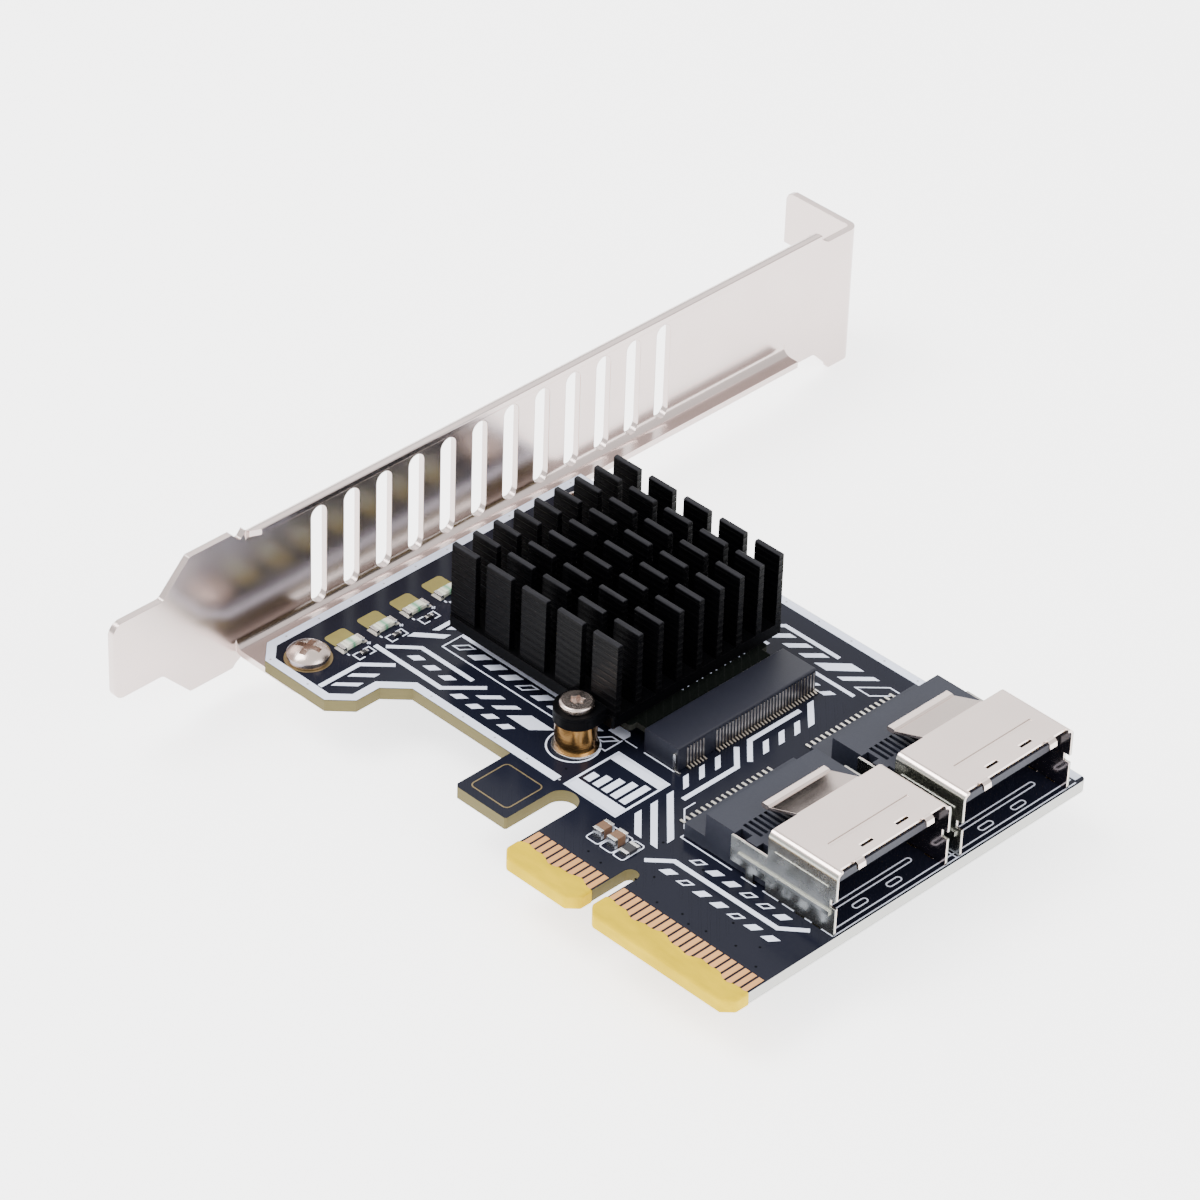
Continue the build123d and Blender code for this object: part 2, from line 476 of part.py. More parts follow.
def port_shield(yc):
    t, w = SHIELD_T, SHIELD_W / 2
    top, r, far = SHIELD_TOP, SHIELD_R, 20
    outer = bar_x([(yc - w, 0.03), (yc - w, top, r), (yc + w, top, r), (yc + w, 0.03)], SIDE_X0, SHIELD_X1)
    inner = bar_x([(yc - w + t, -1), (yc - w + t, top - t, r - t), (yc + w - t, top - t, r - t), (yc + w - t, -1)],
                  SIDE_X0 - 1, SHIELD_X1 + 1)
    shell = outer - inner
    shell -= block(SIDE_X0 - 1, SHIELD_X0, yc - far, yc + far, SIDE_Z1, top + 1)
    shell -= block(SIDE_X0 - 1, SHIELD_X0 - 0.1, yc - far, yc + far, -1, SIDE_Z0)
    shell -= block(NOTCH_X, SHIELD_X1 + 1, yc - far, yc + far, NOTCH_Z0, NOTCH_Z1)
    shell -= block(TOP_X1, SHIELD_X1 + 1, yc - w + r, yc + w - r, top - 1, top + 1)
    for s in (-1, 1):
        ys = yc + s * w
        # pressed lines on the side plates
        a, b = sorted((ys - s * 0.05, ys + s * 0.1))
        shell += block(SHIELD_X0 + 1, SHIELD_X1 - 1.2, a, b, CREASE_Z, CREASE_Z + 0.16)
        a, b = sorted((ys - s * 0.05, ys + s * 0.24))
        shell += block(SIDE_X0 + 1.2, SHIELD_X1 - 0.7, a, b, BULGE_Z0, BULGE_Z1)
        # feet through the board
        a, b = sorted((ys, ys - s * t))
        for x in FEET_X:
            f, z = FOOT_HALF, -FOOT_DOWN
            shell += bar_y([(x - f, SIDE_Z0 + 0.2), (x - f, z + 0.4), (x - f + 0.25, z), (x + f - 0.25, z),
                            (x + f, z + 0.4), (x + f, SIDE_Z0 + 0.2)], a, b)
    # sloping tongue at the back with its rolled hem
    x, z, m = LIP_X1, LIP_Z0, (LIP_Z1 - LIP_Z0) / 2 - 0.01
    tongue = bar_y([(SHIELD_X0 + 0.6, top), (SHIELD_X0 - 0.1, top), (x - 0.3, z + 0.45), (x - 0.3, z + 0.05),
                    (SHIELD_X0 - 0.02, top - t), (SHIELD_X0 + 0.6, top - t)], yc + TONGUE_Y0P, yc + TONGUE_Y1P)
    hem = bar_y([(LIP_X0, z, m), (LIP_X0, LIP_Z1, m), (x, LIP_Z1, m), (x, z, m)], yc + TONGUE_Y0P, yc + TONGUE_Y1P)
    shell += tongue + hem
    # small windows, pressed groove, curled tabs at the mouth
    for y in (yc - 2.6, yc + 2.85):
        shell -= block(WINDOW_X - WINDOW_W / 2, WINDOW_X + WINDOW_W / 2, y - WINDOW_L / 2, y + WINDOW_L / 2, top - 1, top + 1)
    shell -= block(GROOVE_X - GROOVE_W / 2, GROOVE_X + GROOVE_W / 2, yc - 5.85, yc + 6.5, top - 0.1, top + 1)
    for dy in CURL_Y:
        x = TOP_X1
        curl = [(x - 0.2, top), (x + 0.3, top - 0.03), (x + 0.62, top - 0.3), (x + 0.72, top - 0.9),
                (x + 0.44, top - 0.88), (x + 0.34, top - 0.45), (x + 0.15, top - t), (x - 0.2, top - t)]
        shell += bar_y(curl, yc + dy - CURL_W / 2, yc + dy + CURL_W / 2)
    return shell


# Small parts
def led_bodies():
    out = []
    for i in range(LED_N):
        y = LED_Y + i * LED_P
        body = block(LED_X - LED_W / 2, LED_X + LED_W / 2, y - LED_L / 2 + 0.45, y + LED_L / 2 - 0.45, 0.02, LED_H - 0.15)
        dome = block(LED_X - LED_W / 2 + 0.1, LED_X + LED_W / 2 - 0.1, y - 0.75, y + 0.75, LED_H - 0.15, LED_H)
        out.append(body + dome)
    return out


def end_caps(x, y, length, width, height, cap=0.45):
    h = length / 2
    return [block(x - width / 2, x + width / 2, y + a, y + b, 0, height)
            for a, b in ((-h, -h + cap), (h - cap, h))]


def led_ends():
    out = []
    for i in range(LED_N):
        out += end_caps(LED_X, LED_Y + i * LED_P, LED_L, LED_W, LED_H - 0.12)
    return out


RES_X, RES_L, RES_W, RES_H = -36.78, 1.0, 0.5, 0.35


def resistors():
    return [block(RES_X - RES_W / 2, RES_X + RES_W / 2, LED_Y + i * LED_P - RES_L / 2 + 0.22,
                  LED_Y + i * LED_P + RES_L / 2 - 0.22, 0.02, RES_H) for i in range(LED_N)]


def resistor_ends():
    out = []
    for i in range(LED_N):
        out += end_caps(RES_X, LED_Y + i * LED_P, RES_L, RES_W, RES_H, 0.22)
    return out


CAP_L, CAP_W, CAP_END = 2.05, 1.3, 0.42


def cap_bodies(low):
    return [block(x - CAP_W / 2, x + CAP_W / 2, y - CAP_L / 2 + CAP_END, y + CAP_L / 2 - CAP_END, 0.02, h)
            for x, y, h in CAPS if (h < 1) == low]


def cap_ends():
    out = []
    for x, y, h in CAPS:
        out += end_caps(x, y, CAP_L, CAP_W, h, CAP_END)
    return out


# Write the pieces
os.makedirs("parts", exist_ok=True)
save("main_board", main_board())
save("gold_fingers", fingers())
save("film_short", film(*SHORT, 0.4))
save("film_long", film(*LONG, 1.7))
save("bracket", bracket())
save("bracket_screws", bracket_screws())
save("module_socket", socket())
save("socket_pins", socket_pins())
save("socket_tabs", socket_tabs())
save("module_board", module_board())
save("controller_chip", chip())
save("thermal_pad", thermal_pad())
save("heat_sink", heat_sink())
save("sink_posts", posts())
save("post_bases", post_bases())
save("post_screws", post_screws())
for label, k in (("near", 0), ("far", 1)):
    yc = PORT_Y + k * PORT_PITCH
    save(f"port_housing_{label}", port_housing(yc))
    save(f"port_tails_{label}", port_tails(yc))
    save(f"port_contacts_{label}", port_contacts(yc))
    save(f"port_shield_{label}", port_shield(yc))
save("led_bodies", led_bodies())
save("led_ends", led_ends())
save("resistor_bodies", resistors())
save("resistor_ends", resistor_ends())
save("capacitor_bodies", cap_bodies(False))
save("chip_resistor", cap_bodies(True))
save("capacitor_ends", cap_ends())
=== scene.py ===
import math

import bmesh
import bpy
from mathutils import Euler, Matrix, Vector


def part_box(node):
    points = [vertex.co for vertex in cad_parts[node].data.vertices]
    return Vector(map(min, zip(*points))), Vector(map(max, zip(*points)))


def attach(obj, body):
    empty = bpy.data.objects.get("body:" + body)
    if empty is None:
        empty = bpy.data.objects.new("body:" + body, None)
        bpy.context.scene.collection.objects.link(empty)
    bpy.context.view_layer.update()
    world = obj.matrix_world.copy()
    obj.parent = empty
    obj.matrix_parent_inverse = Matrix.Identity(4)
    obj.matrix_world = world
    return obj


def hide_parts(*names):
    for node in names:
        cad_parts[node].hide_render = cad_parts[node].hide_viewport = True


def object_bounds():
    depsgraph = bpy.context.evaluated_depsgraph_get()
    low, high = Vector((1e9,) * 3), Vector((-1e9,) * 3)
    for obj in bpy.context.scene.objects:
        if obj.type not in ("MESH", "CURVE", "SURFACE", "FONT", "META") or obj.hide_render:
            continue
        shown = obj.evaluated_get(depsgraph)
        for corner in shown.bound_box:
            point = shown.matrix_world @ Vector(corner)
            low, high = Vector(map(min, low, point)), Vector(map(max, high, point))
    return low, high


bl_info = {
    "name": "Storage card looks",
    "version": (1, 0, 0),
    "blender": (4, 5, 0),
    "location": "View3D > Sidebar > Card",
    "description": "Finishes, board print and studio for a storage controller card",
    "category": "Object",
}

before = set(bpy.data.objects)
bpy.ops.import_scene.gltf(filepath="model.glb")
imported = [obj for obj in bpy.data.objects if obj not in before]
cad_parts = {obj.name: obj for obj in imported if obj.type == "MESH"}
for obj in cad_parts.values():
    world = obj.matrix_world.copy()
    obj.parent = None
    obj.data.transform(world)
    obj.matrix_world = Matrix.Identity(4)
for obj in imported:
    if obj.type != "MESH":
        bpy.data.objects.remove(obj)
CAD_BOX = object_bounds()

# Sizes and places in millimetres. Places on the board are measured from the first finger's inner end.

MM = 0.001
ORIGIN_X, ORIGIN_Y = -11.5, 5.6                 # that finger end's own place in the frame
INK_Z, INK_T = 0.002, 0.022                     # print lies this far over the mask, and is this thick
PAD_Z, PAD_T = 0.001, 0.012                     # plating and bare windows, in the same way
MASK_WRAP = 0.03                                # how far the mask comes down over a sawn edge
BORDER_W = 1.12
BORDER_LEFT, BORDER_FOOT, BORDER_SHOULDER, BORDER_FAR = -45.04, -0.63, 8.01, 50.24
HAIRLINE = 0.16                                 # width of the fine printed outlines
MITRE_LEAST = 0.3                               # least cosine with which a line's mitre is worked out
VIA_R, VIA_T, PIT_R = 0.14, 0.004, 0.15
PIT_PLACES = [(-6.3, 9.9), (4.3, 5.2), (5.6, 1.6), (7.9, 1.2), (10.0, 8.6), (12.4, 2.0), (13.5, 3.7),
              (16.7, 0.9), (16.2, 8.4), (19.9, 1.5), (21.5, 0.8), (23.6, 1.3), (24.6, 4.4), (27.4, 1.9),
              (29.3, 3.6), (31.2, 1.0)]
MARK_N, MARK_X, MARK_Y = 5, -5.75, 27.4         # pairs of dots on the module, beside the heat sink
MARK_STEP, MARK_PAIR, MARK_R = 2.25, 0.87, 0.13
FILM_T, FILM_CHAMFER, FILM_ROUND = 0.12, 1.28, 0.32
FILM_STEP = 0.45                                # length of the steps along the film's wavy edge
MOUTH_STEP = 19.75                              # from one receptacle to the next
SHIELD_SIDE = 0.45                              # depth of a shield's drawn sides
RING_PLACES = [(-8.75, 13.4), (-27.3, 44.3)]    # middles of the posts
SCREW_PLACES = [(-40.4, 2.75), (-40.4, 45.9)]   # middles of the bracket's screws
LED_PITCH = 5.0
LED_ROW = [7.94 + LED_PITCH * i for i in range(7)]
FLOOR_GAP = 0.2                                 # how far the floor lies under the part

CAMERA_AT = (306.669, -315.323, 361.181)        # in the frame, from the photograph's perspective
CAMERA_TURN = (53.863, -1.693, 45.304)          # degrees
CAMERA_LENS, CAMERA_SENSOR = 160.75, 36.0

SOCKETS = {"colour": "Base Color", "roughness": "Roughness", "normal": "Normal"}


def ink(code):
    """A hexadecimal screen colour as linear red, green and blue."""
    parts = [int(code[i:i + 2], 16) / 255 for i in (1, 3, 5)]
    return tuple(c / 12.92 if c <= 0.04045 else ((c + 0.055) / 1.055) ** 2.4 for c in parts)


def colour_property(label, code):
    return bpy.props.FloatVectorProperty(
        name=label, description=f"Colour of the {label.lower()}", subtype="COLOR", size=3,
        min=0.0, max=1.0, default=ink(code))


class CardLooks(bpy.types.PropertyGroup):
    """What a user would change about the card's finish."""

    mask: colour_property("Solder mask", "#12141F")
    laminate: colour_property("Bare laminate", "#6A6242")
    print_ink: colour_property("White print", "#E4EBFF")
    gold: colour_property("Finger plating", "#E3A86C")
    film: colour_property("Finger film", "#CDAE00")
    steel: colour_property("Bracket plating", "#CABCB8")
    shield: colour_property("Shield plating", "#DFD0C9")
    plastic: colour_property("Dark plastic", "#20232F")
    anodised: colour_property("Heat sink", "#020203")
    brass: colour_property("Brass", "#A87E48")
    print_width: bpy.props.FloatProperty(
        name="Print line", description="Width of the board's broad print lines, in millimetres",
        default=0.62, min=0.1, max=2.0)
    floor_size: bpy.props.FloatProperty(
        name="Floor", description="Side of the studio floor", default=6.0, unit="LENGTH")


class Signal:
    """A node output that plain arithmetic can be done with."""

    def __init__(self, finish, socket):
        self.finish, self.socket = finish, socket

    def _math(self, operation, a, b=None, clamp=False):
        values = {0: a} if b is None else {0: a, 1: b}
        return self.finish.node("ShaderNodeMath", {"operation": operation, "use_clamp": clamp}, values)

    def __add__(self, other):
        return self._math("ADD", self, other)

    def __radd__(self, other):
        return self._math("ADD", other, self)

    def __sub__(self, other):
        return self._math("SUBTRACT", self, other)

    def __rsub__(self, other):
        return self._math("SUBTRACT", other, self)

    def __mul__(self, other):
        return self._math("MULTIPLY", self, other)

    def __rmul__(self, other):
        return self._math("MULTIPLY", other, self)

    def __gt__(self, other):
        return self._math("GREATER_THAN", self, other)

    def __lt__(self, other):
        return self._math("LESS_THAN", self, other)

    def sine(self):
        return self._math("SINE", self)

    def size(self):
        return self._math("ABSOLUTE", self)

    def wrapped(self, period):
        return self._math("FLOORED_MODULO", self, period)

    def held(self):
        return self._math("MULTIPLY", self, 1.0, clamp=True)


class Finish:
    """One material, built node by node on a Principled shader."""

    def __init__(self, name, colour, roughness, metallic=0.0, **fixed):
        self.material = bpy.data.materials.new(name)
        self.material.use_nodes = True
        self.tree = self.material.node_tree
        self.tree.nodes.clear()
        values = {"Base Color": (*colour, 1.0), "Roughness": roughness, "Metallic": metallic}
        values.update(fixed)
        shader = self.node("ShaderNodeBsdfPrincipled", {}, values)
        self.shader = shader.socket.node
        self.node("ShaderNodeOutputMaterial", {}, {"Surface": shader})
        self._spot = None

    def node(self, kind, settings, inputs, output=0):
        """A new node with its settings, and its sockets' values or links."""
        made = self.tree.nodes.new(kind)
        for key, value in settings.items():
            if key == "stops":
                ramp = made.color_ramp
                while len(ramp.elements) < len(value):
                    ramp.elements.new(0.5)
                for element, (at, shade) in zip(ramp.elements, value):
                    element.position, element.color = at, shade
            else:
                setattr(made, key, value)
        for key, value in inputs.items():
            socket = made.inputs[key]
            if isinstance(value, Signal):
                self.tree.links.new(value.socket, socket)
            else:
                socket.default_value = value
        return Signal(self, made.outputs[output]) if made.outputs else None

    def place(self):
        """Object coordinates, in millimetres, as three signals."""
        if self._spot is None:
            where = self.node("ShaderNodeTexCoord", {}, {}, "Object")
            split = self.node("ShaderNodeSeparateXYZ", {}, {0: where}).socket.node
            self._where = where
            self._spot = [Signal(self, split.outputs[i]) * 1000.0 for i in range(3)]
        return self._spot

    def where(self, stretch=(1.0, 1.0, 1.0)):
        """Object coordinates in millimetres as one vector, stretched along the axes."""
        self.place()
        scale = tuple(1000.0 * s for s in stretch)
        return self.node("ShaderNodeVectorMath", {"operation": "MULTIPLY"}, {0: self._where, 1: scale})

    def noise(self, scale, detail=3.0, stretch=(1.0, 1.0, 1.0), rough=0.55):
        return self.node("ShaderNodeTexNoise", {}, {
            "Vector": self.where(stretch), "Scale": scale, "Detail": detail, "Roughness": rough})

    def ramp(self, signal, stops):
        return self.node("ShaderNodeValToRGB", {"stops": stops}, {0: signal})

    def between(self, factor, first, second):
        """Colour mixed from first to second as factor goes from 0 to 1."""
        first = first if isinstance(first, Signal) else (*first, 1.0)
        second = second if isinstance(second, Signal) else (*second, 1.0)
        return self.node("ShaderNodeMix", {"data_type": "RGBA"}, {0: factor, 6: first, 7: second}, 2)

    def bump(self, height, depth, strength=1.0, onto=None):
        """Normal from a height between 0 and 1 that stands for depth millimetres."""
        inputs = {"Height": height, "Distance": depth * MM, "Strength": strength}
        if onto is not None:
            inputs["Normal"] = onto
        return self.node("ShaderNodeBump", {}, inputs)

    def soft_edges(self, radius):
        """Normal rounded over sharp edges."""
        return self.node("ShaderNodeBevel", {"samples": 4}, {"Radius": radius * MM})

    def set(self, **links):
        for key, value in links.items():
            self.tree.links.new(value.socket, self.shader.inputs[SOCKETS[key]])
        return self


def looks():
    return bpy.context.scene.card_looks


def dress(names, material):
    """Gives CAD nodes a finish."""
    for name in names:
        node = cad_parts[name]
        for slot in node.material_slots:
            slot.material = material
        if not node.material_slots:
            raise RuntimeError(f"{name} has no material slot")


def both(stem):
    """Names of the two receptacles' nodes of one kind."""
    return [f"{stem}_near", f"{stem}_far"]


def lighter(colour, factor):
    """A linear colour times a factor."""
    return tuple(min(1.0, c * factor) for c in colour)


# Finishes

def mask_finish(name, node, colour, laminate, grey_end=None):
    """Glossy mask on the faces of a board, and bare woven laminate on its sawn edges.

    grey_end is the place along x past which the sawn edge is pale grey."""
    f = Finish(name, colour, 0.22, 0.0, **{"Specular IOR Level": 0.08})
    low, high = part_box(node)
    x, y, z = f.place()
    side = (z > low.z * 1000 + MASK_WRAP) * (z < high.z * 1000 - MASK_WRAP)
    cloud = f.noise(0.06, 2.0)
    speck = f.noise(2.2, 2.0)
    tone = f.between(cloud, lighter(colour, 0.8), lighter(colour, 1.5))
    layers = f.noise(1.3, 3.0, (0.35, 0.35, 9.0))
    bare = f.between(layers, lighter(laminate, 0.72), lighter(laminate, 1.12))
    if grey_end is not None:
        bare = f.between(x > grey_end, bare, ink("#BDBDB9"))
    lane = ((x * 0.8 + y * 0.8).wrapped(1.1) < 0.34) * (f.noise(0.09, 1.0) > 0.52)
    f.set(colour=f.between(side, tone, bare), roughness=side * 0.42 + speck * 0.1 + 0.13)
    height = lane * 0.8 * (1 - side) + f.noise(0.5, 2.0) * 0.5 + layers * side * 0.6
    return f.set(normal=f.bump(height, 0.016, 1.0, f.soft_edges(0.07))).material


def ink_finish(name, colour):
    """Screen-printed epoxy ink, slightly uneven."""
    f = Finish(name, colour, 0.55)
    grain = f.noise(2.4, 3.0)
    f.set(colour=f.between(grain, lighter(colour, 0.9), colour), roughness=grain * 0.16 + 0.44)
    return f.set(normal=f.bump(grain, 0.008, 0.6)).material


def plated_finish(name, colour, roughness, grain=0.5, radius=0.05, walls=None):
    """Plated or polished metal with faint handling marks and a fine tooth.

    walls is a pair of places along y, in mm, past which the drawn sides are duller."""
    f = Finish(name, colour, roughness, 1.0)
    haze = f.noise(0.11, 3.0)
    tooth = f.noise(5.5, 3.0)
    smear = f.noise(0.5, 2.0, (1.0, 0.25, 1.0))
    tone = f.between(haze, lighter(colour, 0.9), lighter(colour, 1.05))
    rough = tooth * 0.1 * grain + smear * 0.1 + (roughness - 0.08)
    if walls is not None:
        y = f.place()[1]
        side = ((y < walls[0]) + (y > walls[1])).held()
        tone = f.between(side, tone, ink("#A3A49E"))
        rough = rough + side * 0.12
    f.set(colour=tone, roughness=rough)
    return f.set(normal=f.bump(tooth, 0.004, grain, f.soft_edges(radius))).material


def moulded_finish(name, colour, roughness, radius=0.06):
    """Moulded plastic with a spark-eroded tooth and a soft sheen."""
    f = Finish(name, colour, roughness, 0.0, **{"Specular IOR Level": 0.36})
    tooth = f.noise(6.0, 2.0)
    cloud = f.noise(0.2, 2.0)
    f.set(colour=f.between(cloud, lighter(colour, 0.88), lighter(colour, 1.1)),
          roughness=tooth * 0.16 + (roughness - 0.08))
    return f.set(normal=f.bump(tooth, 0.012, 0.7, f.soft_edges(radius))).material


def film_finish(name, colour):
    """Clear yellow film drawn tight over the finger tips. Its folds and trapped air are painted into the
    colour as darker and lighter streaks: painted shade and painted highlight.
    """
    f = Finish(name, colour, 0.3, 0.0, **{"Specular IOR Level": 0.03})
    x = f.place()[0]
    fold_shade_and_highlight = f.noise(0.35, 3.0, (0.5, 1.6, 1.0))
    wrinkle = f.noise(1.1, 3.0, (0.35, 1.0, 1.0))
    rows = ((x + 0.65).wrapped(1.0) - 0.5).size()
    # painted shade and painted highlight: the colour runs from a darker to a lighter copy of the film along
    # the folds
    f.set(colour=f.between(fold_shade_and_highlight, lighter(colour, 0.66), lighter(colour, 1.3)),
          roughness=wrinkle * 0.25 + 0.2)
    return f.set(normal=f.bump(wrinkle * 0.8 + (rows < 0.15) * 0.2, 0.05, 0.8, f.soft_edges(0.06))).material


def anodised_finish(name, colour, tip_z, base_z):
    """Black anodised extrusion: fine die lines along the fins, greyer in patches along the fin tops."""
    f = Finish(name, colour, 0.42, 0.0, **{"Specular IOR Level": 0.06})
    z = f.place()[2]
    drift = f.noise(0.7, 3.0, (0.1, 0.1, 4.0))
    line = (z * (2 * math.pi / 0.92) + drift * 5.0).sine() * 0.5 + 0.5
    tips = (z > tip_z - 0.16) * f.noise(1.2, 3.0, (0.2, 3.0, 1.0))
    dust = f.noise(0.5, 3.0)
    tone = f.between(dust, lighter(colour, 0.7), lighter(colour, 1.8))
    f.set(colour=f.between((tips * 0.45).held(), tone, ink("#44444A")),
          roughness=drift * 0.18 + 0.36)
    grooves = line * line * line * (z > base_z) * (z < tip_z - 0.1)
    return f.set(normal=f.bump(grooves * 0.9 + drift * 0.2, 0.07, 1.0, f.soft_edges(0.05))).material


def turned_finish(name, colour):
    """Lathe-turned metal with fine rings round its axis, darker where it has been handled."""
    f = Finish(name, colour, 0.2, 1.0)
    ring = f.noise(2.0, 3.0, (0.12, 0.12, 3.0))
    haze = f.noise(0.5, 2.0)
    tarnish = f.ramp(haze, [(0.3, (*lighter(colour, 0.85), 1.0)), (0.5, (*colour, 1.0)),
                            (0.75, (*lighter(colour, 1.15), 1.0))])
    f.set(colour=tarnish, roughness=ring * 0.14 + 0.14)
    return f.set(normal=f.bump(ring, 0.02, 0.7, f.soft_edges(0.06))).material


def ceramic_finish(name, colour):
    """Fired ceramic with a fine grain."""
    f = Finish(name, colour, 0.4)
    grain = f.noise(3.0, 3.0)
    f.set(colour=f.between(grain, lighter(colour, 0.8), lighter(colour, 1.15)), roughness=grain * 0.2 + 0.3)
    return f.set(normal=f.bump(grain, 0.01, 0.8, f.soft_edges(0.08))).material


def lens_finish(name):
    """Clear resin of the small lamps, its green die showing through the middle."""
    f = Finish(name, ink("#C8CFA8"), 0.25, 0.0, **{"IOR": 1.5})
    y = f.place()[1]
    half = LED_PITCH / 2
    along = ((y - (LED_ROW[0] + ORIGIN_Y) + half).wrapped(LED_PITCH) - half).size()
    green = (1 - along * 1.9).held()
    cloud = f.noise(3.0, 2.0)
    f.set(colour=f.between(green, ink("#DADBCB"), ink("#5FA07C")), roughness=cloud * 0.15 + 0.18)
    return f.set(normal=f.bump(cloud, 0.01, 0.6, f.soft_edges(0.1))).material


def window_finish(name, colour):
    """Bare woven laminate seen through an opening in the mask."""
    f = Finish(name, colour, 0.5)
    x, y = f.place()[:2]
    turns = 2 * math.pi / 0.35
    weave = ((x * turns).sine() * (y * turns).sine()) * 0.5 + 0.5
    cloud = f.noise(0.8, 3.0)
    f.set(colour=f.between(cloud, lighter(colour, 0.8), lighter(colour, 1.15)), roughness=weave * 0.1 + 0.4)
    return f.set(normal=f.bump(weave, 0.008, 0.6)).material


def pit_shade_finish(name, colour):
    """Painted shade: near-black discs for the shade in the small holes that the mask has sunk into."""
    f = Finish(name, colour, 0.6, 0.0, **{"Specular IOR Level": 0.02})
    grain = f.noise(3.0, 2.0)
    f.set(colour=f.between(grain, colour, lighter(colour, 2.0)))
    return f.set(normal=f.bump(grain, 0.01, 0.5)).material


# Shapes drawn on the boards

def spot(x, y, z):
    return Vector(((x + ORIGIN_X) * MM, (y + ORIGIN_Y) * MM, z * MM))


def arc(cx, cy, r, start, turn=90, steps=4):
    """Points along an arc, from start through turn, in degrees."""
    angles = [math.radians(start + turn * k / steps) for k in range(steps + 1)]
    return [(cx + r * math.cos(a), cy + r * math.sin(a)) for a in angles]


class Sheet:
    """Flat shapes on a board's face, raised to a thin layer when they are done."""

    def __init__(self, name, base, thickness):
        self.name, self.base, self.thickness = name, base, thickness
        self.bm = bmesh.new()

    def patch(self, corners):
        """A filled shape."""
        self.bm.faces.new([self.bm.verts.new(spot(x, y, self.base)) for x, y in corners])

    def stroke(self, points, width, closed=False):
        """A line of even width, mitred at its corners."""
        n = len(points)
        rim = []
        for i, (x, y) in enumerate(points):
            here = Vector((x, y))
            ways = []
            if closed or i > 0:
                ways.append((here - Vector(points[i - 1])).normalized())
            if closed or i < n - 1:
                ways.append((Vector(points[(i + 1) % n]) - here).normalized())
            mean = sum(ways, Vector((0, 0))).normalized()
            side = Vector((-mean.y, mean.x))
            reach = width / 2 / max(MITRE_LEAST, side.dot(Vector((-ways[0].y, ways[0].x))))
            rim.append([self.bm.verts.new(spot(*(here + side * s), self.base)) for s in (reach, -reach)])
        for i in range(n if closed else n - 1):
            a, b = rim[i], rim[(i + 1) % n]
            self.bm.faces.new((a[0], a[1], b[1], b[0]))

    def slash(self, x, y0, y1, width, lean=0.8, hollow=False):
        """A bar that leans to the right as it rises, its lower left corner at x."""
        shift = (y1 - y0) * lean
        corners = [(x, y0), (x + width, y0), (x + width + shift, y1), (x + shift, y1)]
        if not hollow:
            self.patch(corners)
            return
        inset, side_inset, line = 0.09, 0.13, 0.17
        x0, x1 = x + side_inset, x + width - side_inset
        low, high = y0 + inset, y1 - inset
        shift_in = (high - low) * lean
        start = inset * lean
        self.stroke([(x0 + start, low), (x1 + start, low), (x1 + start + shift_in, high),
                     (x0 + start + shift_in, high)], line, closed=True)

    def row(self, x, y0, y1, width, step, count, hollow=(), lean=0.8):
        """Leaning bars side by side. Those whose numbers are in hollow are outlines."""
        for i in range(count):
            self.slash(x + i * step, y0, y1, width, lean, i in hollow)

    def falling(self, x0, x1, top, tall):
        """A bar that falls to the right between two upright ends."""
        drop = x1 - x0
        self.patch([(x0, top), (x0, top - tall), (x1, top - drop - tall), (x1, top - drop)])

    def ring(self, x, y, outer, inner, steps=40):
        loops = []
        for radius in (outer, inner):
            made = bmesh.ops.create_circle(self.bm, segments=steps, radius=radius * MM,
                                           matrix=Matrix.Translation(spot(x, y, self.base)))
            loops.append(made["verts"])
        edges = {e for loop in loops for v in loop for e in v.link_edges}
        bmesh.ops.bridge_loops(self.bm, edges=list(edges))

    def disc(self, x, y, radius, steps=10):
        bmesh.ops.create_circle(self.bm, cap_ends=True, segments=steps, radius=radius * MM,
                                matrix=Matrix.Translation(spot(x, y, self.base)))

    def pill(self, x0, x1, y0, y1, width):
        """The outline of an upright slot with round ends."""
        r = (x1 - x0) / 2 - width / 2
        cx = (x0 + x1) / 2
        points = arc(cx, y1 - r - width / 2, r, 0, 180, 6) + arc(cx, y0 + r + width / 2, r, 180, 180, 6)
        self.stroke(points, width, closed=True)

    def frame_box(self, x0, x1, y0, y1, width, round_by=0.0):
        """The outline of a box, its corners rounded."""
        points = [(x0, y0), (x1, y0), (x1, y1), (x0, y1)]
        if round_by > 0:
            points = []
            for cx, cy, start in ((x1 - round_by, y1 - round_by, 0), (x0 + round_by, y1 - round_by, 90),
                                  (x0 + round_by, y0 + round_by, 180), (x1 - round_by, y0 + round_by, 270)):
                points += arc(cx, cy, round_by, start)
        self.stroke(points, width, closed=True)

    def finish(self, material, slot):
        bm = self.bm
        made = bmesh.ops.extrude_face_region(bm, geom=bm.faces[:])
        top = [g for g in made["geom"] if isinstance(g, bmesh.types.BMVert)]
        bmesh.ops.translate(bm, verts=top, vec=Vector((0, 0, self.thickness * MM)))
        bmesh.ops.recalc_face_normals(bm, faces=bm.faces)
        return settle(bm, self.name, material)


def settle(bm, name, material):
    """Turns a finished bmesh into a piece that rides on the card."""
    mesh = bpy.data.meshes.new(name)
    bm.to_mesh(mesh)
    bm.free()
    piece = bpy.data.objects.new(name, mesh)
    bpy.context.collection.objects.link(piece)
    mesh.materials.append(material)
    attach(piece, "root")
    return piece


def film_wave(x, seed):
    """Place of the film's inner edge over the fingers."""
    return -2.75 + 0.3 * math.sin(0.9 * x + seed) + 0.16 * math.sin(2.3 * x + 2 * seed)


